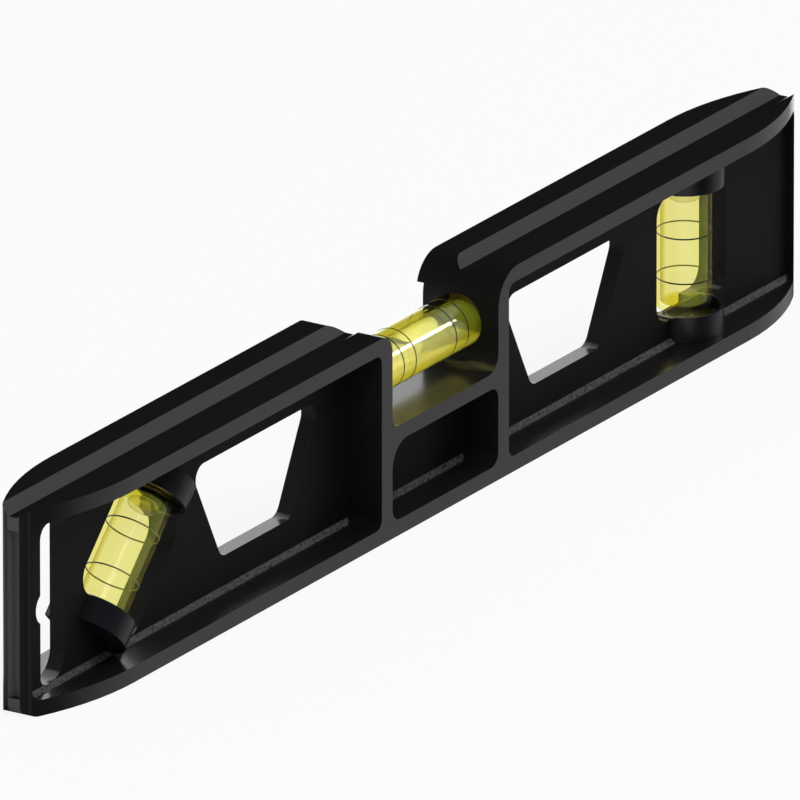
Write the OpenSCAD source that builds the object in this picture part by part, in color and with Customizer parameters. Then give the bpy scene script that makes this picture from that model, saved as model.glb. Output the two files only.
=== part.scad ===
// Pocket spirit level with three vials: level, mitre (45 degrees) and plumb.
// X runs along the level, -Y is the front, Z is up. The origin is at the
// middle of the bottom face, which is the working face the level stands on.

/* [Body] */
// Length over both ends
body_l = 232; // [215:1:300]
// Height from the working face to the top
body_h = 35; // [33:0.5:45]
// Thickness, front to back
body_t = 15.6; // [15:0.1:20]
// Length of the narrowing at each end
nose_l = 23.2; // [16:0.1:25]
// Radius of the curve that narrows each side towards the end
nose_r = 50; // [48:1:90]
// Width of the flat strip at the very end, between its two round corners
end_flat_w = 0.6; // [0.2:0.1:1.5]
// Radius of the bottom corner of each end, seen from the front
end_corner_r = 2.4; // [1.2:0.1:3]
// Height of the top and bottom flanges
flange_t = 2.7; // [2.2:0.1:3.2]
// Thickness of the wall at each end
end_wall_t = 1.3; // [1.2:0.1:2.5]
// Thickness of the web between front and back
web_t = 2.8; // [2.2:0.1:3.2]
// Radius in the inner corners of the front pockets
pocket_r = 1.6; // [0.8:0.1:2.2]
// Height of the bead at the foot of the web
foot_h = 0.8; // [0.5:0.1:1.2]
// Height of the thick lip under the top, at the back
back_lip_h = 4.2; // [3.4:0.1:5]
// How far the posts stand in from the back face, under the lip
back_recess = 1.3; // [0.6:0.1:2]

/* [Grooves] */
// Width of the V groove along the top, at its mouth
groove_w = 6; // [5:0.1:7]
// Width of the floor of the V groove
groove_floor_w = 1.5; // [1:0.1:2.4]
// Depth of the V groove
groove_depth = 1.4; // [1:0.1:1.9]
// Width of the upright groove in each end face, at its mouth
end_groove_w = 2.3; // [1.6:0.1:2.6]
// Width of the floor of the upright groove
end_groove_floor_w = 0.7; // [0.4:0.1:1.2]
// Depth of the upright groove
end_groove_depth = 1.2; // [0.5:0.1:1.4]
// Distance from the top down to the start of the upright groove
end_groove_top = 3.7; // [3:0.1:8]
// Height of the upright groove's lower end above the working face
end_groove_foot = 3.1; // [2.6:0.1:6]

/* [Centre notch] */
// Width of the notch between the posts
notch_w = 31.9; // [30:0.1:36]
// Thickness of each post beside the notch
post_t = 3.2; // [2.8:0.1:5]
// Height of the notch floor above the working face
notch_floor_z = 18.7; // [17:0.1:20]
// Thickness of the bar under the notch
bar_t = 2.6; // [2:0.1:4]
// Radius of the outer top corner of the left post
left_shoulder_r = 3.2; // [2:0.1:5]
// Radius of the outer top corner of the right post
right_shoulder_r = 6; // [4:0.1:7]
// Radius of the left corner of the notch floor
notch_left_r = 1.8; // [1:0.1:2.4]
// Radius of the right corner of the notch floor
notch_right_r = 3; // [1:0.1:3.2]
// Radius of the upper left corner of the pocket under the bar
bay_corner_r = 4.5; // [2:0.1:5]
// Radius of the other corners of the pocket under the bar
bay_r = 2.2; // [1:0.1:3]

/* [Openings in the web] */
// Distance from the middle to each tapered opening
cutout_x = 46.6; // [44:0.1:48]
// Width of a tapered opening at its top
cutout_top_w = 38.8; // [30:0.2:40]
// Width of a tapered opening at its bottom
cutout_bottom_w = 20.8; // [14:0.2:24]
// Height of the bottom edge of a tapered opening
cutout_bottom_z = 8.6; // [7:0.1:10]
// Height of a tapered opening
cutout_h = 17.5; // [14:0.5:19]
// Corner radius of a tapered opening
cutout_r = 2.4; // [1:0.1:3]
// Distance from the left end to the hanging slot
slot_end = 5.8; // [5:0.1:6.5]
// Width of the hanging slot
slot_w = 7.1; // [6:0.1:7.4]
// Height of the hanging slot's lower edge
slot_bottom_z = 3.4; // [3:0.1:6]
// Height of the hanging slot's upper edge
slot_top_z = 30.3; // [26:0.1:31.5]
// Radius of the slot's lower corner towards the middle
slot_r = 4; // [2:0.1:4.4]
// Radius of the slot's upper corner towards the end
slot_top_r = 2.3; // [1:0.1:3]
// Radius of the round hook hole that widens the slot towards the end
hook_r = 2.8; // [2:0.1:3.2]
// How far the hook hole reaches past the slot
hook_depth = 1.3; // [0.5:0.1:1.6]
// Height of the middle of the hook hole
hook_z = 16.5; // [12:0.1:20]

/* [Vials] */
// Outer diameter of a vial tube
tube_d = 9.1; // [8:0.1:9.6]
// Wall of a vial tube
tube_wall = 0.65; // [0.5:0.05:0.9]
// Thickness of the closed end of a tube, and of its plug
tube_end_t = 0.8; // [0.6:0.1:1.2]
// Height of the level vial's axis above the working face
main_z = 25.85; // [25.2:0.05:27]
// Depth of the seat for the level vial in each post
main_seat = 2.2; // [1.2:0.1:2.4]
// Middle of the level vial's ring marks, from the middle of the level
main_marks_x = 2.45; // [-3:0.05:3]
// Distance between the inner ring marks of the level vial
main_marks_gap = 12.1; // [10:0.1:14]
// Distance from an inner ring mark to the outer one
main_outer_gap = 3.6; // [2:0.1:4.2]
// Distance from the left end to the middle of the mitre vial
mitre_end = 32.1; // [31.6:0.1:33]
// Lean of the mitre vial from the horizontal
mitre_angle = 45; // [45:1:45]
// Distance between the ring marks of the mitre vial
mitre_marks_gap = 8.5; // [6:0.1:9.4]
// Distance from the right end to the middle of the plumb vial
plumb_end = 30.8; // [28:0.1:32.4]
// Distance between the ring marks of the plumb vial
plumb_marks_gap = 7.7; // [6:0.1:9]
// Drop of the plumb vial's ring marks below the middle of the vial
plumb_marks_drop = 1.5; // [0:0.1:2.4]
// Width of a ring mark
mark_w = 0.25; // [0.15:0.05:0.5]
// Height of a ring mark over the tube
mark_t = 0.04; // [0.02:0.01:0.1]

/* [Vial windows and caps] */
// Length and width of the square window round a side vial
window_w = 21.4; // [20.4:0.1:22]
// Corner radius of a window
window_r = 3.3; // [2:0.1:5]
// Height of the frame behind a window
frame_h = 2.5; // [1.5:0.1:3.5]
// Thickness of the frame behind a window
frame_t = 1.2; // [0.8:0.1:1.6]
// Outer diameter of a vial cap
cap_d = 13; // [12.2:0.1:13.4]
// Length of a vial cap
cap_l = 4.3; // [3.6:0.1:4.3]
// Distance between the rims of the two caps of a vial
cap_span = 20.9; // [19:0.1:20.9]
// Wall of a vial cap
cap_wall = 0.6; // [0.4:0.05:0.9]
// Depth of the pocket in a vial cap
cap_pocket = 1.9; // [1.2:0.1:2.4]

/* [Bubbles] */
// Length of the level vial's bubble
main_bubble_l = 12; // [8:0.2:12]
// Width of the level vial's bubble
main_bubble_w = 6.4; // [5:0.1:6.6]
// Depth of the level vial's bubble
main_bubble_h = 2.6; // [2:0.1:3]
// Diameter of a side vial's bubble, gathered at the top of the tube
side_bubble_d = 5.2; // [4:0.1:6]
// Depth of a side vial's bubble
side_bubble_h = 1.7; // [1.2:0.1:2.2]

/* [Fits] */
// Gap round a tube in its seat
seat_gap = 0.05; // [0.02:0.01:0.1]
// Gap between a cap and the body
cap_gap = 0.05; // [0.02:0.01:0.1]
// Gap between the liquid and the tube
liquid_gap = 0.02; // [0.01:0.01:0.05]
// Gap between a bubble and the liquid round it
bubble_gap = 0.15; // [0.1:0.01:0.2]

/* [Hidden] */
$fn = 96;

body_colour = [0.13, 0.13, 0.135];
cap_colour = [0.12, 0.12, 0.15];
tube_colour = [0.88, 0.92, 0.7, 0.5];
liquid_colour = [0.85, 0.85, 0.15, 0.7];
bubble_colour = [0.95, 0.97, 0.8];
mark_colour = [0.1, 0.12, 0.04];

// A cut runs this far past the face that it goes through
over = 1;

half_l = body_l / 2;
half_h = body_h / 2;
half_t = body_t / 2;
half_web = web_t / 2;
flank_x = half_l - nose_l;
flank_y = half_t - nose_r;
// The round corner of an end touches the end face, and stands this far out of
// the nose curve, so that the two cross at a clear angle
corner_proud = 0.05;
corner_reach = nose_r + corner_proud;
corner_y = end_flat_w / 2;
corner_r = (pow(corner_reach, 2) - pow(nose_l, 2) - pow(corner_y - flank_y, 2))
    / (2 * (corner_reach - nose_l));
corner_x = half_l - corner_r;
corner_touch_x = flank_x + (corner_x - flank_x) * nose_r / (nose_r - corner_r);

half_notch = notch_w / 2;
post_out = half_notch + post_t;
pocket_end = half_l - end_wall_t;
pocket_l = pocket_end - post_out;
pocket_mid = (pocket_end + post_out) / 2;
pocket_top = body_h - flange_t;
bay_top = notch_floor_z - bar_t;
back_pocket_top = body_h - back_lip_h;
slot_out = half_l - slot_end;
slot_in = slot_out - slot_w;
mitre_x = half_l - mitre_end;
plumb_x = half_l - plumb_end;

tube_r = tube_d / 2;
bore_r = tube_r - tube_wall;
main_half = half_notch + main_seat - seat_gap;
side_half = cap_span / 2 - seat_gap;
foot_half = cap_span / 2 + cap_pocket - seat_gap;
cap_r = cap_d / 2;
cap_end = cap_span / 2 + cap_l;
cap_back = half_web - cap_gap;
main_bore_from = -main_half + tube_end_t;
main_bore_to = main_half - tube_end_t;
side_bore_half = side_half - tube_end_t;
// The lens section of the level vial's bubble lies between two arcs
lens_low = bore_r - main_bubble_h;
lens_r = (pow(main_bubble_w / 2, 2) + pow(bore_r, 2) - pow(lens_low, 2)) / (2 * (bore_r - lens_low));

// A rectangle in X and Z with its own radius in each corner, centred on Y:
// radii go round from the lower left corner against the clock
module plate(x0, x1, z0, z1, radii, y0, y1) {
    translate([0, y1, 0]) rotate([90, 0, 0]) linear_extrude(y1 - y0)
        rounded_outline(x0, x1, z0, z1, radii);
}

module rounded_outline(x0, x1, z0, z1, radii) {
    corners = [[x0, z0, 1, 1], [x1, z0, -1, 1], [x1, z1, -1, -1], [x0, z1, 1, -1]];
    difference() {
        translate([x0, z0]) square([x1 - x0, z1 - z0]);
        for (i = [0 : 3]) if (radii[i] > 0) corner_bite(corners[i], radii[i]);
    }
}

// What a radius takes off a square corner; c holds the corner and its inward signs
module corner_bite(c, r) {
    difference() {
        translate([c[0] - (c[2] > 0 ? over : r), c[1] - (c[3] > 0 ? over : r)])
            square([r + over, r + over]);
        translate([c[0] + c[2] * r, c[1] + c[3] * r]) circle(r);
    }
}

// Half of the outline from above: straight flank, nose curve and end corner
module flank_limit() {
    intersection() {
        union() {
            translate([-flank_x, -half_t - over]) square([2 * flank_x, body_t + over]);
            for (side = [-1, 1]) translate([side * flank_x, flank_y]) circle(nose_r, $fn = 360);
        }
        union() {
            translate([-corner_touch_x, -half_t - over])
                square([2 * corner_touch_x, body_t + 2 * over]);
            translate([-half_l, -half_t - over]) square([body_l, half_t + over + corner_y]);
            for (side = [-1, 1]) translate([side * corner_x, corner_y]) circle(corner_r);
        }
    }
}

module plan() {
    intersection() {
        translate([-half_l, -half_t]) square([body_l, body_t]);
        flank_limit();
        mirror([0, 1]) flank_limit();
    }
}

module envelope() {
    intersection() {
        linear_extrude(body_h) plan();
        plate(-half_l, half_l, 0, body_h, [end_corner_r, end_corner_r, 0, 0],
            -half_t - over, half_t + over);
    }
}

// The pocket of one half, from the face to the web; side is -1 left, 1 right
module end_pocket(side, top, y0, y1) {
    x0 = side > 0 ? post_out : -pocket_end;
    plate(x0, x0 + pocket_l, flange_t, top, [pocket_r, pocket_r, pocket_r, pocket_r], y0, y1);
}

module bay(y0, y1) {
    plate(-half_notch, half_notch, flange_t, bay_top, [bay_r, bay_r, bay_r, bay_corner_r], y0, y1);
}

// The bead at the foot of the web, from x0 to x1
module web_foot(x0, x1) {
    sunk = over / 2;
    translate([x0, -half_web, flange_t]) rotate([90, 0, 90]) linear_extrude(x1 - x0)
        polygon([[sunk, -sunk], [sunk, foot_h], [0, foot_h], [-foot_h, 0], [-foot_h, -sunk]]);
}

module notch() {
    plate(-half_notch, half_notch, notch_floor_z, body_h + over,
        [notch_left_r, notch_right_r, 0, 0], -half_t - over, half_t + over);
    shoulder(-1, left_shoulder_r);
    shoulder(1, right_shoulder_r);
}

// Rounds the top corner of a post beside the notch
module shoulder(side, r) {
    translate([0, half_t + over, 0]) rotate([90, 0, 0]) linear_extrude(body_t + 2 * over)
        corner_bite([side * half_notch, body_h, side, -1], r);
}

module top_groove() {
    translate([-half_l - over, 0, body_h]) rotate([90, 0, 90]) linear_extrude(body_l + 2 * over)
        trapezium(groove_w, groove_floor_w, groove_depth);
}

module end_groove() {
    for (side = [-1, 1]) translate([side * half_l, 0, 0]) rotate([0, 0, side * -90])
        translate([0, 0, end_groove_foot])
            linear_extrude(body_h - end_groove_top - end_groove_foot)
                trapezium(end_groove_w, end_groove_floor_w, end_groove_depth);
}

// A groove section that is open upwards and as wide as w at the surface
module trapezium(w, floor_w, depth) {
    polygon([[-w / 2, over], [-w / 2, 0], [-floor_w / 2, -depth], [floor_w / 2, -depth],
        [w / 2, 0], [w / 2, over]]);
}

// A tapered opening with round corners
module cutout(side) {
    top_z = cutout_bottom_z + cutout_h;
    lean = atan((cutout_top_w - cutout_bottom_w) / 2 / cutout_h);
    // Distance from a corner to the centre of its circle, along the level edge
    low_in = cutout_r * tan(45 - lean / 2);
    high_in = cutout_r * tan(45 + lean / 2);
    low_x = cutout_bottom_w / 2 - low_in;
    high_x = cutout_top_w / 2 - high_in;
    low_z = cutout_bottom_z + cutout_r;
    high_z = top_z - cutout_r;
    dx = cutout_r * cos(lean);
    dz = cutout_r * sin(lean);
    translate([side * cutout_x, half_t, 0]) rotate([90, 0, 0]) linear_extrude(body_t) {
        polygon([[-low_x, cutout_bottom_z], [low_x, cutout_bottom_z], [low_x + dx, low_z - dz],
            [high_x + dx, high_z - dz], [high_x, top_z], [-high_x, top_z],
            [-high_x - dx, high_z - dz], [-low_x - dx, low_z - dz]]);
        for (s = [-1, 1]) {
            translate([s * low_x, low_z]) circle(cutout_r);
            translate([s * high_x, high_z]) circle(cutout_r);
        }
    }
}

module hanging_slot() {
    plate(-slot_out, -slot_in, slot_bottom_z, slot_top_z,
        [pocket_r, slot_r, pocket_r, slot_top_r], -half_t, half_t);
}

// Places a side vial's parts: the vial's own axis is Z, its front is -Y
module at_mitre() {
    translate([-mitre_x, 0, half_h]) rotate([0, 90 - mitre_angle, 0]) children();
}

module at_plumb() {
    translate([plumb_x, 0, half_h]) children();
}

// Cuts for a side vial: its window through the web, and the seats of its caps
module side_vial_cuts() {
    w = window_w / 2;
    plate(-w, w, -w, w, [window_r, window_r, window_r, window_r], -half_t, half_t);
    seat_l = 2 * (cap_end + cap_gap);
    seat_d = cap_d + 2 * cap_gap;
    intersection() {
        translate([0, 0, -seat_l / 2]) cylinder(h = seat_l, d = seat_d);
        translate([-cap_d, -cap_d, -seat_l / 2]) cube([2 * cap_d, cap_d + half_web, seat_l]);
    }
}

// The frame behind a window and its cap seats, open where the tube is pushed in
module window_frame() {
    w = window_w / 2;
    f = w + frame_t;
    r = window_r;
    seat_w = cap_r + cap_gap + frame_t;
    seat_end = cap_end + cap_gap + frame_t;
    difference() {
        union() {
            plate(-f, f, -f, f, [r + frame_t, r + frame_t, r + frame_t, r + frame_t],
                half_web - over / 2, half_web + frame_h);
            plate(-seat_w, seat_w, -seat_end, seat_end, [0, 0, 0, 0],
                half_web - over / 2, half_web + frame_h);
        }
        plate(-w, w, -w, w, [r, r, r, r], 0, half_t);
        translate([-tube_r - seat_gap, half_web, -f - over])
            cube([tube_d + 2 * seat_gap, frame_h + over, 2 * (f + over)]);
    }
}

module body() {
    color(body_colour) difference() {
        union() {
            difference() {
                envelope();
                for (side = [-1, 1]) {
                    end_pocket(side, pocket_top, -half_t - over, -half_web);
                    end_pocket(side, back_pocket_top, half_web, half_t + over);
                }
                bay(-half_t - over, -half_web);
                bay(half_web, half_t + over);
                back_steps();
            }
            web_foot(-pocket_end - over / 2, -post_out + over / 2);
            web_foot(-half_notch - over / 2, half_notch + over / 2);
            web_foot(post_out - over / 2, pocket_end + over / 2);
            intersection() {
                envelope();
                union() {
                    at_mitre() window_frame();
                    at_plumb() window_frame();
                }
            }
        }
        notch();
        top_groove();
        end_groove();
        cutout(-1);
        cutout(1);
        hanging_slot();
        hook_hole();
        at_mitre() side_vial_cuts();
        at_plumb() side_vial_cuts();
        translate([-half_notch - main_seat, 0, main_z]) rotate([0, 90, 0])
            cylinder(h = notch_w + 2 * main_seat, d = tube_d + 2 * seat_gap);
    }
}

// The round hole through the web that widens the slot, for a hook
module hook_hole() {
    translate([hook_r - hook_depth - slot_out, half_t, hook_z]) rotate([90, 0, 0])
        cylinder(h = body_t, r = hook_r);
}

// Below the lip, the posts stand in from the back face
module back_steps() {
    translate([-post_out - over, half_t - back_recess, bay_top])
        cube([2 * (post_out + over), back_recess + over, back_pocket_top - bay_top]);
}

// A vial tube along Z, closed at the bottom
module tube(from, to) {
    difference() {
        translate([0, 0, from]) cylinder(h = to - from, r = tube_r);
        translate([0, 0, from + tube_end_t]) cylinder(h = to - from, r = bore_r);
    }
}

// The foot of a tube or plug, flat at the back so that it can't turn in its cap
module vial_foot(from, to) {
    back = cap_back - cap_wall - seat_gap;
    intersection() {
        translate([0, 0, from]) cylinder(h = to - from, r = tube_r);
        translate([-tube_r, -tube_r, from]) cube([tube_d, tube_r + back, to - from]);
    }
}

module lie_along_x() {
    translate([0, 0, main_z]) rotate([0, 90, 0]) children();
}

module main_tube() {
    color(tube_colour) lie_along_x() mirror([0, 0, 1]) tube(-main_half, main_half);
}

module main_plug() {
    color(tube_colour) lie_along_x() translate([0, 0, -main_half])
        cylinder(h = tube_end_t, r = bore_r - liquid_gap);
}

// The space of the level vial's bubble along its whole travel, or the bubble
module lens_bar(from, to, gap) {
    intersection() {
        translate([from, 0, main_z]) rotate([0, 90, 0])
            cylinder(h = to - from, r = bore_r - liquid_gap - gap);
        translate([from, 0, main_z + lens_low + lens_r + gap]) rotate([0, 90, 0])
            cylinder(h = to - from, r = lens_r);
    }
}

module main_liquid() {
    color(liquid_colour) difference() {
        translate([main_bore_from + liquid_gap, 0, main_z]) rotate([0, 90, 0])
            cylinder(h = main_bore_to - main_bore_from - 2 * liquid_gap, r = bore_r - liquid_gap);
        lens_bar(main_bore_from - over, main_bore_to + over, -bubble_gap);
    }
}

module main_bubble() {
    half_b = main_bubble_l / 2;
    straight = main_bubble_l - main_bubble_w;
    color(bubble_colour) intersection() {
        lens_bar(main_marks_x - half_b, main_marks_x + half_b, bubble_gap);
        translate([main_marks_x, 0, main_z]) linear_extrude(tube_d) union() {
            square([straight, main_bubble_w], center = true);
            for (side = [-1, 1]) translate([side * straight / 2, 0]) circle(d = main_bubble_w);
        }
    }
}

// A printed ring round a tube
module mark(z) {
    translate([0, 0, z - mark_w / 2]) difference() {
        cylinder(h = mark_w, r = tube_r + mark_t);
        translate([0, 0, -over]) cylinder(h = mark_w + 2 * over, r = tube_r);
    }
}

module main_marks() {
    inner = main_marks_gap / 2;
    outer = inner + main_outer_gap;
    color(mark_colour) lie_along_x()
        for (x = [-outer, -inner, inner, outer]) mark(main_marks_x + x);
}

module side_tube() {
    color(tube_colour) {
        tube(-side_half, side_half);
        vial_foot(-foot_half, -side_half + tube_end_t / 2);
    }
}

module side_plug() {
    color(tube_colour) {
        translate([0, 0, side_bore_half]) cylinder(h = tube_end_t, r = bore_r - liquid_gap);
        vial_foot(side_half, foot_half);
    }
}

module side_liquid() {
    h = 2 * (side_bore_half - liquid_gap);
    color(liquid_colour) difference() {
        translate([0, 0, -h / 2]) cylinder(h = h, r = bore_r - liquid_gap);
        translate([0, 0, -h]) cylinder(h = 2 * h, d = side_bubble_d + 2 * bubble_gap);
    }
}

// Air at the top of the tube, with a round rim
module side_bubble() {
    r = side_bubble_d / 2;
    rim = side_bubble_h / 2;
    color(bubble_colour) translate([0, 0, side_bore_half - bubble_gap - rim]) rotate_extrude() {
        translate([0, -rim]) square([r - rim, side_bubble_h]);
        translate([r - rim, 0]) intersection() {
            circle(rim);
            translate([0, -rim]) square([rim, side_bubble_h]);
        }
    }
}

module side_marks(gap, drop) {
    color(mark_colour) for (s = [-1, 1]) mark(s * gap / 2 - drop);
}

// A cap is a cup that is cut off flush with the back of the web
module side_cap() {
    color(cap_colour) difference() {
        translate([0, 0, cap_span / 2]) cylinder(h = cap_l, r = cap_r);
        translate([-cap_d, cap_back, 0]) cube([2 * cap_d, cap_d, 2 * cap_end]);
        intersection() {
            cylinder(h = cap_span / 2 + cap_pocket, r = cap_r - cap_wall);
            translate([-cap_d, -cap_d, 0]) cube([2 * cap_d, cap_d + cap_back - cap_wall, 2 * cap_end]);
        }
    }
}

module lower_cap() { mirror([0, 0, 1]) side_cap(); }

module mitre_tube() { at_mitre() side_tube(); }
module mitre_plug() { at_mitre() side_plug(); }
module mitre_liquid() { at_mitre() side_liquid(); }
module mitre_bubble() { at_mitre() side_bubble(); }
module mitre_marks() { at_mitre() side_marks(mitre_marks_gap, 0); }
module mitre_lower_cap() { at_mitre() lower_cap(); }
module mitre_upper_cap() { at_mitre() side_cap(); }

module plumb_tube() { at_plumb() side_tube(); }
module plumb_plug() { at_plumb() side_plug(); }
module plumb_liquid() { at_plumb() side_liquid(); }
module plumb_bubble() { at_plumb() side_bubble(); }
module plumb_marks() { at_plumb() side_marks(plumb_marks_gap, plumb_marks_drop); }
module plumb_lower_cap() { at_plumb() lower_cap(); }
module plumb_upper_cap() { at_plumb() side_cap(); }

body();
main_tube();
main_plug();
main_liquid();
main_bubble();
main_marks();
mitre_tube();
mitre_plug();
mitre_liquid();
mitre_bubble();
mitre_marks();
mitre_lower_cap();
mitre_upper_cap();
plumb_tube();
plumb_plug();
plumb_liquid();
plumb_bubble();
plumb_marks();
plumb_lower_cap();
plumb_upper_cap();
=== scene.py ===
import math

import bmesh
import bpy
from mathutils import Matrix, Vector


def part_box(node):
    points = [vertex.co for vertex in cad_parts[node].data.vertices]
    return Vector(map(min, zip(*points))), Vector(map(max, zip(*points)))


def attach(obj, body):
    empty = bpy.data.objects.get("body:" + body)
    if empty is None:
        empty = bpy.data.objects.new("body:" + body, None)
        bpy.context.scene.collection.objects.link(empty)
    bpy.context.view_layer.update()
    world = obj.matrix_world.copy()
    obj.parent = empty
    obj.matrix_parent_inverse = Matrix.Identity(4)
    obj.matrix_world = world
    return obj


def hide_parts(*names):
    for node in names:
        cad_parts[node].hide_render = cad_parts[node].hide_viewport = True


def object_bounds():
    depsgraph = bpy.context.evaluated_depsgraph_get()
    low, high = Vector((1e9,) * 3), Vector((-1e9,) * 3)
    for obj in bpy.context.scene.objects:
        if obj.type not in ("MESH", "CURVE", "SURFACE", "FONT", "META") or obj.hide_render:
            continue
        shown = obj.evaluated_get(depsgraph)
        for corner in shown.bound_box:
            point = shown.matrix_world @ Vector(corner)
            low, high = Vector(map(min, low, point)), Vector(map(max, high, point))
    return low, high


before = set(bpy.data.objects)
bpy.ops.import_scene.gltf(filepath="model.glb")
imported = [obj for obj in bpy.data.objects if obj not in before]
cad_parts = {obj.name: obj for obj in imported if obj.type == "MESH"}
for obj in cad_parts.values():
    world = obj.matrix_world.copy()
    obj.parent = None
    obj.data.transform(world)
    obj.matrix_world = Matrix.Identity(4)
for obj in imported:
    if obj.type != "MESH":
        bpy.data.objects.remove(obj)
cad_low, cad_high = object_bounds()

# The camera
# A long lens from the left and above, so that the level looks almost without
# perspective. The middle of the level falls on the named pixel.
VIEW_AZIMUTH = math.radians(-57.9)
VIEW_ELEVATION = math.radians(20.2)
VIEW_DISTANCE = 6.0
LENS_MM = 1687.5
SENSOR_MM = 36
NEAREST_SEEN = 0.5
FARTHEST_SEEN = 20
PICTURE_SIZE = 800
MIDDLE_PIXEL = (404.3, 397.8)


def added(name, data):
    """A new object in the scene that holds this data."""
    made = bpy.data.objects.new(name, data)
    bpy.context.scene.collection.objects.link(made)
    return made


camera = added("camera", bpy.data.cameras.new("camera"))
bpy.context.scene.camera = camera
camera.data.lens = LENS_MM
camera.data.sensor_width = SENSOR_MM
camera.data.clip_start = NEAREST_SEEN
camera.data.clip_end = FARTHEST_SEEN
to_camera = Vector((
    math.sin(VIEW_AZIMUTH) * math.cos(VIEW_ELEVATION),
    -math.cos(VIEW_AZIMUTH) * math.cos(VIEW_ELEVATION),
    math.sin(VIEW_ELEVATION),
))
camera.location = (cad_low + cad_high) / 2 + to_camera * VIEW_DISTANCE
camera.rotation_euler = (-to_camera).to_track_quat("-Z", "Y").to_euler()
camera.data.shift_x = (PICTURE_SIZE / 2 - MIDDLE_PIXEL[0]) / PICTURE_SIZE
camera.data.shift_y = (MIDDLE_PIXEL[1] - PICTURE_SIZE / 2) / PICTURE_SIZE
bpy.context.scene.view_settings.view_transform = "Standard"

# The studio: a white floor, a soft world, a low card and two lamps
# Shiny faces see light at the right and low on the left, and little from
# elsewhere. The floor is white to the camera and keeps the level's shadow.
KEY_DIRECTION = (0.796, -0.480, 0.366)
TOP_DIRECTION = (-0.25, -0.45, 1.0)
WHITE = (1, 1, 1, 1)


class Wire:
    """A shader socket that works in Python sums."""

    def __init__(self, tree, socket):
        self.tree = tree
        self.socket = socket

    def maths(self, operation, *values):
        made = self.tree.nodes.new("ShaderNodeMath")
        made.operation = operation
        for place, value in enumerate(values):
            if isinstance(value, Wire):
                self.tree.links.new(value.socket, made.inputs[place])
            else:
                made.inputs[place].default_value = value
        return Wire(self.tree, made.outputs[0])

    def __add__(self, other):
        return self.maths("ADD", self, other)

    def __sub__(self, other):
        return self.maths("SUBTRACT", self, other)

    def __rsub__(self, other):
        return self.maths("SUBTRACT", other, self)

    def __mul__(self, other):
        return self.maths("MULTIPLY", self, other)

    def __abs__(self):
        return self.maths("ABSOLUTE", self)

    def larger(self, other):
        return self.maths("MAXIMUM", self, other)

    def root(self):
        return self.maths("SQRT", self)

    __radd__ = __add__
    __rmul__ = __mul__


class Look:
    """The nodes of a material or a world."""

    def __init__(self, owner):
        self.owner = owner
        owner.use_nodes = True
        self.tree = owner.node_tree
        self.tree.nodes.clear()

    def node(self, kind, settings=None, inputs=None, output=0):
        made = self.tree.nodes.new(kind)
        for name, value in (settings or {}).items():
            setattr(made, name, value)
        for name, value in (inputs or {}).items():
            if isinstance(value, Wire):
                self.tree.links.new(value.socket, made.inputs[name])
            else:
                made.inputs[name].default_value = value
        return Wire(self.tree, made.outputs[output])

    def place(self):
        """Where a point of the surface lies on its piece."""
        return self.node("ShaderNodeTexCoord", output="Object")

    def part(self, vector, axis):
        """One coordinate of a vector."""
        return self.node("ShaderNodeSeparateXYZ", None, {0: vector}, output=axis)

    def noise(self, place, scale, detail, roughness=0.5):
        """Soft clouds or fine grain, between 0 and 1."""
        return self.node("ShaderNodeTexNoise", None, {
            "Vector": place, "Scale": scale, "Detail": detail, "Roughness": roughness})

    def step(self, value, low, high):
        """0 below low and 1 above high, with a smooth rise between."""
        return self.node("ShaderNodeMapRange", {"interpolation_type": "SMOOTHSTEP"},
                         {"Value": value, "From Min": low, "From Max": high})

    def mix(self, share, first, second):
        """A colour between first and second."""
        return self.node("ShaderNodeMix", {"data_type": "RGBA"},
                         {0: share, 6: first, 7: second}, output=2)

    def rays(self):
        """Masks for the rays of a reflection, and for those that show a background."""
        camera_ray, glossy_ray, clear_ray = (
            self.node("ShaderNodeLightPath", output=f"Is {name} Ray")
            for name in ("Camera", "Glossy", "Transmission"))
        return glossy_ray, camera_ray.larger(clear_ray)

    def finish(self, surface):
        kind = "World" if isinstance(self.owner, bpy.types.World) else "Material"
        output = self.tree.nodes.new(f"ShaderNodeOutput{kind}")
        self.tree.links.new(surface.socket, output.inputs["Surface"])
        return self.owner


def modelled(name, shape):
    """A new object in the scene with the mesh that was built up in shape."""
    mesh = bpy.data.meshes.new(name)
    shape.to_mesh(mesh)
    return added(name, mesh)


def dress(piece, finish):
    """Give a piece this finish alone."""
    piece.data.materials.clear()
    piece.data.materials.append(finish)


# What a shiny face sees: direction, where it fades in and is full, strength
STUDIO_LIGHTS = (
    ((0.80, -0.40, -0.45), 0.70, 0.92, 0.46),
    ((-0.90, -0.10, -0.42), 0.50, 0.85, 0.90),
    ((0.75, -0.45, 0.48), 0.75, 0.97, 0.70),
    (KEY_DIRECTION, 0.9976, 0.9994, 12.0),
)
STUDIO_DARK = 0.008
STUDIO_FILL = 0.35
world = Look(bpy.data.worlds.new("studio"))
bpy.context.scene.world = world.owner
direction = world.node("ShaderNodeTexCoord", output="Generated")
shine = STUDIO_DARK
for towards, faint, full, strength in STUDIO_LIGHTS:
    nearness = world.node("ShaderNodeVectorMath", {"operation": "DOT_PRODUCT"},
                          {0: direction, 1: Vector(towards).normalized()}, output="Value")
    shine = world.step(nearness, faint, full) * strength + shine
glossy, seen = world.rays()
light = glossy * shine + (1 - glossy) * STUDIO_FILL
world.finish(world.node("ShaderNodeBackground", None,
                        {"Color": WHITE, "Strength": seen + (1 - seen) * light}))

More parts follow.
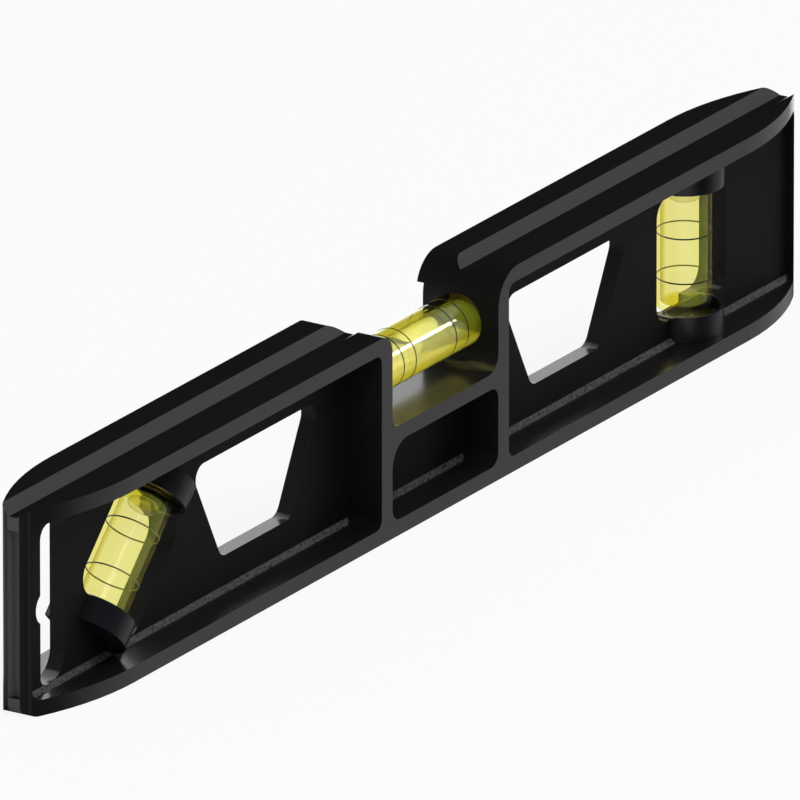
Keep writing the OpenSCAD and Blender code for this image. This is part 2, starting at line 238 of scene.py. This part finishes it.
# The floor lets reflections through to the world
FLOOR_RADIUS = 1.6
FLOOR_SIDES = 96
FLOOR_GAP = 0.00002
FLOOR_GLOW = 0.9
FLOOR_PAINT = (0.86, 0.86, 0.86, 1)
disc = bmesh.new()
bmesh.ops.create_circle(disc, cap_ends=True, segments=FLOOR_SIDES, radius=FLOOR_RADIUS)
floor = modelled("floor", disc)
floor.location.z = cad_low.z - FLOOR_GAP
look = Look(bpy.data.materials.new("white_floor"))
glossy, seen = look.rays()
paint = look.node("ShaderNodeBsdfDiffuse", None, {"Color": FLOOR_PAINT})
white = look.node("ShaderNodeEmission", None, {"Color": WHITE, "Strength": 1.0})
clean_white = look.node("ShaderNodeMixShader", None, {0: seen * FLOOR_GLOW, 1: paint, 2: white})
to_studio = look.node("ShaderNodeBsdfTransparent")
dress(floor, look.finish(
    look.node("ShaderNodeMixShader", None, {0: glossy, 1: clean_white, 2: to_studio})))

# A low white card behind the level, seen only in the shine of faces inside it
CARD_HEIGHT = 0.033
CARD_LENGTH = 0.5
CARD_Y = 0.014
CARD_GLOW = 1.6
sheet = bmesh.new()
sheet.faces.new([sheet.verts.new((end * CARD_LENGTH / 2, CARD_Y, z))
                 for end, z in ((-1, 0), (1, 0), (1, CARD_HEIGHT), (-1, CARD_HEIGHT))])
card = modelled("low_card", sheet)
look = Look(bpy.data.materials.new("card_white"))
dress(card, look.finish(look.node(
    "ShaderNodeEmission", None, {"Color": WHITE, "Strength": CARD_GLOW})))
card.visible_camera = False
card.visible_transmission = False
card.visible_diffuse = False
card.visible_shadow = False


def softbox(name, towards, distance, size, power):
    """A round lamp that shines on the level and leaves no mark in its shine."""
    lamp = added(name, bpy.data.lights.new(name, "AREA"))
    towards = Vector(towards).normalized()
    lamp.location = towards * distance
    lamp.rotation_euler = towards.to_track_quat("Z", "Y").to_euler()
    lamp.data.shape = "DISK"
    lamp.data.size = size
    lamp.data.energy = power
    lamp.visible_glossy = False


softbox("key_lamp", KEY_DIRECTION, distance=1.4, size=0.3, power=5)
softbox("top_lamp", TOP_DIRECTION, distance=1.5, size=0.9, power=9)

# Body: one moulding in black plastic
# The outer faces are smoother than the web and the pockets, which keep a fine
# grain from the mould. The edges are slightly round where the mould opened.
BODY_EDGE = 0.00022
WEB_FACE_Y = 0.0022
WEB_FACE_FADE = 0.0004
END_DEPTH = 0.0018
END_FADE = 0.0006
END_GROOVE_Y = (0.0010, 0.0012)
BEAD_TOP_Z = 0.0042
BEAD_FADE = 0.0004
BEAD_TURN = (0.3, 0.5)
BEAD_HIGHLIGHT_SPECKS = (0.25, 0.65)
FACES_UP = (0.74, 0.84)
FACES_AN_END = (0.65, 0.85)
BODY_BLACK = (0.0055, 0.0055, 0.0058, 1)
BODY_GREY = (0.0095, 0.0095, 0.010, 1)
# Painted highlight: light grey specks on the foot bead, where its slope catches the key light
BEAD_PAINTED_HIGHLIGHT = (0.10, 0.10, 0.105, 1)
# Painted light: the strips of the end grooves are painted grey, as if lit
END_GROOVE_PAINTED_LIGHT = (0.09, 0.09, 0.092, 1)
EDGE_SEGMENTS = 2
SHARP_ANGLE = math.radians(38)


def round_edges(piece, width):
    """The slight round that a mould leaves along sharp edges."""
    edge = piece.modifiers.new("moulded_edges", "BEVEL")
    edge.width = width
    edge.segments = EDGE_SEGMENTS
    edge.limit_method = "ANGLE"
    edge.angle_limit = SHARP_ANGLE
    edge.harden_normals = True


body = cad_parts["body"]
look = Look(bpy.data.materials.new("body_plastic"))
place = look.place()
x, y, z = (look.part(place, axis) for axis in "XYZ")
facing = look.node("ShaderNodeTexCoord", output="Normal")
facing_x, facing_y, facing_z = (look.part(facing, axis) for axis in "XYZ")
upward = look.step(facing_z, *FACES_UP)
outer = look.step(abs(y), WEB_FACE_Y, WEB_FACE_Y + WEB_FACE_FADE).larger(upward)
outer = outer * (1 - look.step(abs(facing_x), *FACES_AN_END))
end_face_x = cad_high.x - END_DEPTH
# Where the painted light lies on the end grooves
end_groove_painted_light = look.step(abs(x), end_face_x, end_face_x + END_FADE)
end_groove_painted_light = end_groove_painted_light * (1 - look.step(abs(y), *END_GROOVE_Y)) * (1 - upward)
# The foot bead carries the painted highlight and a thinner coat
bead = look.step(facing_z, *BEAD_TURN) * look.step(facing_y * -1, *BEAD_TURN)
bead = bead * look.step(BEAD_TOP_Z - z, 0, BEAD_FADE)
cloud = look.noise(place, 60.0, 3.0)
grain = look.noise(place, 2600.0, 2.0, 0.6)
colour = look.mix(cloud, BODY_BLACK, BODY_GREY)
# Painted highlight in specks on the foot bead
colour = look.mix(bead * look.step(grain, *BEAD_HIGHLIGHT_SPECKS), colour, BEAD_PAINTED_HIGHLIGHT)
# Painted light on the end grooves
colour = look.mix(end_groove_painted_light, colour, END_GROOVE_PAINTED_LIGHT)
rough = 0.62 + (cloud - 0.5) * 0.12
bump = look.node("ShaderNodeBump", None,
                 {"Height": grain * (1 - outer * 0.6), "Strength": 0.35, "Distance": 0.00003})
dress(body, look.finish(look.node("ShaderNodeBsdfPrincipled", None, {
    "Base Color": colour, "Roughness": rough, "IOR": 1.2, "Normal": bump,
    "Coat Weight": outer * (1 - bead * 0.8), "Coat Roughness": 0.2, "Coat IOR": 1.5})))
round_edges(body, BODY_EDGE)

# Caps: four cups in blue-black plastic that hold the ends of the side vials
# They are mouldings with a satin shine, pressed into the web from the front.
# A thin painted highlight runs along the outer edge of each rim.
VIAL_AXES = {
    "main": Vector((1, 0, 0)),
    "mitre": Vector((1, 0, 1)).normalized(),
    "plumb": Vector((0, 0, 1)),
}
CAP_EDGE = 0.0002
CAP_RIM = 0.01045
CAP_RADIUS = 0.0065
RIM_LINE_ALONG = (0.00010, 0.00022)
RIM_LINE_INSIDE = (0.00028, 0.00018)
CAP_BLACK = (0.0075, 0.0075, 0.010, 1)
CAP_GREY = (0.012, 0.012, 0.016, 1)
# Painted highlight on the outer edge of each cap rim
RIM_PAINTED_HIGHLIGHT = (0.40, 0.39, 0.32, 1)
for vial in ("mitre", "plumb"):
    axis = VIAL_AXES[vial]
    look = Look(bpy.data.materials.new(f"{vial}_cap_plastic"))
    place = look.place()
    cloud = look.noise(place, 300.0, 4.0)
    grain = look.noise(place, 3200.0, 2.0)
    bump = look.node("ShaderNodeBump", None,
                     {"Height": grain, "Strength": 0.12, "Distance": 0.00002})
    middle = (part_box(f"{vial}_lower_cap")[0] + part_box(f"{vial}_upper_cap")[1]) / 2
    along = look.node("ShaderNodeVectorMath", {"operation": "DOT_PRODUCT"},
                      {0: place, 1: axis}, output="Value") - middle.dot(axis)
    spoke = look.node("ShaderNodeVectorMath", {"operation": "SUBTRACT"}, {0: place, 1: middle})
    lengthwise = look.node("ShaderNodeVectorMath", {"operation": "SCALE"},
                           {0: axis, "Scale": along})
    out = look.node("ShaderNodeVectorMath", {"operation": "DISTANCE"},
                    {0: spoke, 1: lengthwise}, output="Value")
    # Mask of the painted highlight along the rim
    rim = 1 - look.step(abs(along), *(CAP_RIM + reach for reach in RIM_LINE_ALONG))
    rim = rim * look.step(out, *(CAP_RADIUS - reach for reach in RIM_LINE_INSIDE))
    colour = look.mix(cloud, CAP_BLACK, CAP_GREY)
    cap_plastic = look.finish(look.node("ShaderNodeBsdfPrincipled", None, {
        "Base Color": look.mix(rim, colour, RIM_PAINTED_HIGHLIGHT),
        "Roughness": 0.27 + cloud * 0.1, "IOR": 1.42, "Normal": bump}))
    for cap in (f"{vial}_lower_cap", f"{vial}_upper_cap"):
        dress(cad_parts[cap], cap_plastic)
        round_edges(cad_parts[cap], CAP_EDGE)

# Tubes and their plugs: clear acrylic, polished
# The wall takes on the liquid's yellow, and painted shade darkens it towards
# its outline. The thin shine along a tube comes from its outer skin.
TUBE_SHINE = {"main": 1.0, "mitre": 0.3, "plumb": 0.3}
TUBE_CLEAR = (0.99, 0.99, 0.96, 1)
TUBE_YELLOW = (0.80, 0.73, 0.12, 1)
# Painted shade along the outline of each tube
TUBE_PAINTED_SHADE_OUTLINE = (0.10, 0.11, 0.02, 1)
for vial, shine in TUBE_SHINE.items():
    look = Look(bpy.data.materials.new(f"{vial}_clear_tube"))
    haze = look.noise(look.place(), 500.0, 3.0)
    side = look.node("ShaderNodeLayerWeight", None, {"Blend": 0.5}, output="Facing")
    wall = look.mix(look.step(side, 0.35, 0.6), TUBE_CLEAR, TUBE_YELLOW)
    acrylic = look.finish(look.node("ShaderNodeBsdfPrincipled", None, {
        "Base Color": look.mix(look.step(side, 0.80, 0.95), wall, TUBE_PAINTED_SHADE_OUTLINE),
        "Roughness": haze * 0.02, "IOR": 1.0, "Transmission Weight": 1.0,
        "Coat Weight": shine, "Coat Roughness": 0.03, "Coat IOR": 1.45}))
    for piece in (f"{vial}_tube", f"{vial}_plug"):
        dress(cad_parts[piece], acrylic)

# Liquid: a clear yellow, with a painted glow in the level vial
# It fills the bore of each tube, with a round edge at both ends, and the
# bubble lies in it. The level vial's liquid has painted light in its lower part.
LIQUID_EDGE = 0.0004
LIQUID_SIDES = 96
EDGE_TURNS = [math.radians(turn) for turn in (0, 30, 60, 90)]
# Painted light in the lower part of the level vial's liquid
PAINTED_LIGHT_SLOPE = 0.12
PAINTED_LIGHT_FROM = 0.0010
PAINTED_LIGHT_FADE = (-0.0004, 0.0006)
PAINTED_LIGHT_SHARE = 0.36
MILKY_SHARE = 0.10
# Painted glow: emission in the level vial's liquid
LIQUID_PAINTED_GLOW = {"main": 0.35, "mitre": 0.0, "plumb": 0.0}
LIQUID_PALE = (0.95, 0.87, 0.36, 1)
# Painted shade: the liquid's yellow deepens to this towards the sides of the bore
LIQUID_SIDE_SHADE = (0.78, 0.71, 0.09, 1)
LIQUID_GREEN = (0.50, 0.66, 0.06, 1)
LIQUID_LIGHT_GREEN = (0.60, 0.76, 0.09, 1)
LIQUID_PAINTED_LIGHT = (0.84, 0.78, 0.22, 1)


def cylinder_size(node, axis):
    """Centre, half length and radius of a CAD cylinder that lies along axis."""
    low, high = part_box(node)
    radius = (high.y - low.y) / 2
    across = math.sqrt(1 - axis.x ** 2)
    half = ((high.x - low.x) / 2 - radius * across) / axis.x if axis.x else (high.z - low.z) / 2
    return (low + high) / 2, half, radius


def lathed(name, profile, centre, axis):
    """A closed turned piece: the profile holds (along, radius) from end to end."""
    made = bmesh.new()
    rings = []
    for along, radius in profile:
        rings.append([made.verts.new((radius * math.cos(2 * math.pi * i / LIQUID_SIDES),
                                      radius * math.sin(2 * math.pi * i / LIQUID_SIDES), along))
                      for i in range(LIQUID_SIDES)])
    for low, high in zip(rings, rings[1:]):
        for i in range(LIQUID_SIDES):
            made.faces.new((low[i - 1], low[i], high[i], high[i - 1]))
    made.faces.new(list(reversed(rings[0])))
    made.faces.new(rings[-1])
    for face in made.faces:
        face.smooth = len(face.verts) == 4
    made.transform(Matrix.Translation(centre) @ axis.to_track_quat("Z", "Y").to_matrix().to_4x4())
    bmesh.ops.recalc_face_normals(made, faces=made.faces)
    return modelled(name, made)


def yellow_liquid(vial):
    """Clear yellow with a milky share of its own colour, and in the level vial a painted glow and
    painted light.
    """
    look = Look(bpy.data.materials.new(f"{vial}_yellow_liquid"))
    place = look.place()
    cloud = look.noise(place, 260.0, 2.0)
    # Painted shade towards the sides of the bore
    side = look.node("ShaderNodeLayerWeight", None, {"Blend": 0.45}, output="Facing")
    clear = look.node("ShaderNodeBsdfPrincipled", None, {
        "Base Color": look.mix(side, LIQUID_PALE, LIQUID_SIDE_SHADE),
        "Roughness": 0.0, "IOR": 1.005, "Transmission Weight": 1.0})
    share = MILKY_SHARE
    warm = LIQUID_GREEN
    if vial == "main":
        low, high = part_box("main_liquid")
        x, z = (look.part(place, axis) for axis in "XZ")
        # Painted light below a sloped line in the level vial
        depth = (low.z + high.z) / 2 + PAINTED_LIGHT_FROM - x * PAINTED_LIGHT_SLOPE - z
        painted_light = look.step(depth, *PAINTED_LIGHT_FADE)
        share = painted_light * PAINTED_LIGHT_SHARE + MILKY_SHARE
        warm = look.mix(painted_light, warm, LIQUID_PAINTED_LIGHT)
    glow = look.node("ShaderNodeBsdfPrincipled", None, {
        "Base Color": look.mix(cloud * 0.3, warm, LIQUID_LIGHT_GREEN), "Roughness": 0.6,
        "IOR": 1.05, "Emission Color": warm, "Emission Strength": LIQUID_PAINTED_GLOW[vial]})
    return look.finish(look.node("ShaderNodeMixShader", None, {0: share, 1: clear, 2: glow}))


for vial, axis in VIAL_AXES.items():
    centre, half, radius = cylinder_size(f"{vial}_liquid", axis)
    edge = [(half - LIQUID_EDGE * (1 - math.sin(turn)), radius - LIQUID_EDGE * (1 - math.cos(turn)))
            for turn in EDGE_TURNS]
    outline = [(-along, r) for along, r in reversed(edge)] + edge
    liquid = lathed(f"{vial}_filling", outline, centre, axis)
    dress(liquid, yellow_liquid(vial))
    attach(liquid, "level")
    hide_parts(f"{vial}_liquid")

# Bubbles: air, seen as a clear lens with a rim of painted shade
# The level vial's bubble lies under the top of the bore, and those of the side
# vials at their upper ends. Each one slides along its tube.
BUBBLE_RINGS = 48
BUBBLE_SIDES = 64
BUBBLE_GAP = 0.0002
ALONG_POWER = 3.2
ACROSS_POWER = 2.2
RIM_STARTS = 0.74
RIM_FULL = 0.95
# Painted colours of the bubbles: pale streaks of painted light, and painted shade at rims and
# outlines
AIR_CLEAR = (0.98, 0.98, 0.86, 1)
AIR_PAINTED_SHADE_OUTLINE = (0.35, 0.36, 0.10, 1)
AIR_PAINTED_STREAK_DARK = (0.62, 0.62, 0.36, 1)
AIR_PAINTED_STREAK_LIGHT = (0.85, 0.85, 0.62, 1)
AIR_PAINTED_SHADE_RIM = (0.05, 0.055, 0.012, 1)
look = Look(bpy.data.materials.new("air"))
haze = look.noise(look.place(), 400.0, 2.0)
# Painted shade towards the outline of the side vials' bubbles
side = look.node("ShaderNodeLayerWeight", None, {"Blend": 0.3}, output="Facing")
side_vial_air = look.finish(look.node("ShaderNodeBsdfPrincipled", None, {
    "Base Color": look.mix(side, AIR_CLEAR, AIR_PAINTED_SHADE_OUTLINE),
    "Roughness": haze * 0.02, "IOR": 1.02, "Transmission Weight": 1.0}))
for bubble in ("mitre_bubble", "plumb_bubble"):
    dress(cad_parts[bubble], side_vial_air)


def long_bubble(name, middle, half, bore_axis_z, bore_radius):
    """A capsule that follows the bore above and is a shallow lens below."""
    made = bmesh.new()
    rings = []
    for i in range(1, BUBBLE_RINGS):
        along = -math.cos(math.pi * i / BUBBLE_RINGS)
        full = (1 - abs(along) ** ALONG_POWER) ** (1 / ACROSS_POWER)
        ring = []
        for j in range(BUBBLE_SIDES):
            turn = 2 * math.pi * j / BUBBLE_SIDES
            y = half.y * full * math.cos(turn)
            top = math.sqrt(bore_radius ** 2 - y ** 2) + bore_axis_z
            half_thick = half.z * full * abs(math.sin(turn))
            z = top - half_thick * (1 - math.sin(turn))
            ring.append(made.verts.new((middle.x + half.x * along, middle.y + y, z)))
        rings.append(ring)
    for first, second in zip(rings, rings[1:]):
        for j in range(BUBBLE_SIDES):
            made.faces.new((first[j - 1], first[j], second[j], second[j - 1]))
    for ring, sign in ((rings[0], -1), (rings[-1], 1)):
        tip = made.verts.new((middle.x + sign * half.x, middle.y, bore_axis_z + bore_radius))
        for j in range(BUBBLE_SIDES):
            made.faces.new((ring[j - 1], ring[j], tip))
    bmesh.ops.recalc_face_normals(made, faces=made.faces)
    for face in made.faces:
        face.smooth = True
    return modelled(name, made)


bore_centre, _, bore_radius = cylinder_size("main_liquid", VIAL_AXES["main"])
low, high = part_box("main_bubble")
middle, half = (low + high) / 2, (high - low) / 2
main_air = long_bubble("main_air", middle, half, bore_centre.z, bore_radius - BUBBLE_GAP)
look = Look(bpy.data.materials.new("level_air"))
place = look.place()
x, y = (look.part(place, axis) for axis in "XY")
past_straight = (abs(x - middle.x) - (half.x - half.y)).larger(0.0)
reach = (past_straight * past_straight + y * y).root()
# The level vial's bubble: a rim of painted shade, pale painted streaks and a painted glow
rim = look.step(reach, half.y * RIM_STARTS, half.y * RIM_FULL)
streak = look.noise(place, 700.0, 1.0)
painted_bubble_light_and_shade = look.mix(rim, look.mix(streak, AIR_PAINTED_STREAK_DARK, AIR_PAINTED_STREAK_LIGHT), AIR_PAINTED_SHADE_RIM)
dress(main_air, look.finish(look.node("ShaderNodeBsdfPrincipled", None, {
    "Base Color": painted_bubble_light_and_shade, "Roughness": 0.15, "IOR": 1.3, "Alpha": rim * 0.25 + 0.65,
    "Emission Color": painted_bubble_light_and_shade, "Emission Strength": 0.4,
    "Coat Weight": 0.5, "Coat Roughness": 0.02})))
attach(main_air, "level_bubble")
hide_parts("main_bubble")

# Ring marks: dark ink printed round the tubes
# The ink is a very dark green where the yellow shines through it, and on one
# side of each vial it is drawn lighter.
PALE_SIDE = {"main": 1, "mitre": -1, "plumb": 1}
PALE_FADE = (0.0, 0.002)
INK_DARK = (0.012, 0.015, 0.003, 1)
INK_WORN = (0.035, 0.04, 0.008, 1)
INK_PALE = (0.20, 0.19, 0.05, 1)
for vial, pale_side in PALE_SIDE.items():
    look = Look(bpy.data.materials.new(f"{vial}_mark_ink"))
    place = look.place()
    wear = look.noise(place, 1500.0, 3.0)
    towards_pale = look.part(place, "Y") * pale_side
    ink = look.mix(wear, INK_DARK, INK_WORN)
    # The ink is drawn lighter on one side of each vial
    ink_lighter_on_one_side = look.mix(look.step(towards_pale, *PALE_FADE), ink, INK_PALE)
    dress(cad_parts[f"{vial}_marks"], look.finish(look.node(
        "ShaderNodeBsdfPrincipled", None, {"Base Color": ink_lighter_on_one_side, "Roughness": 0.45 + wear * 0.2})))
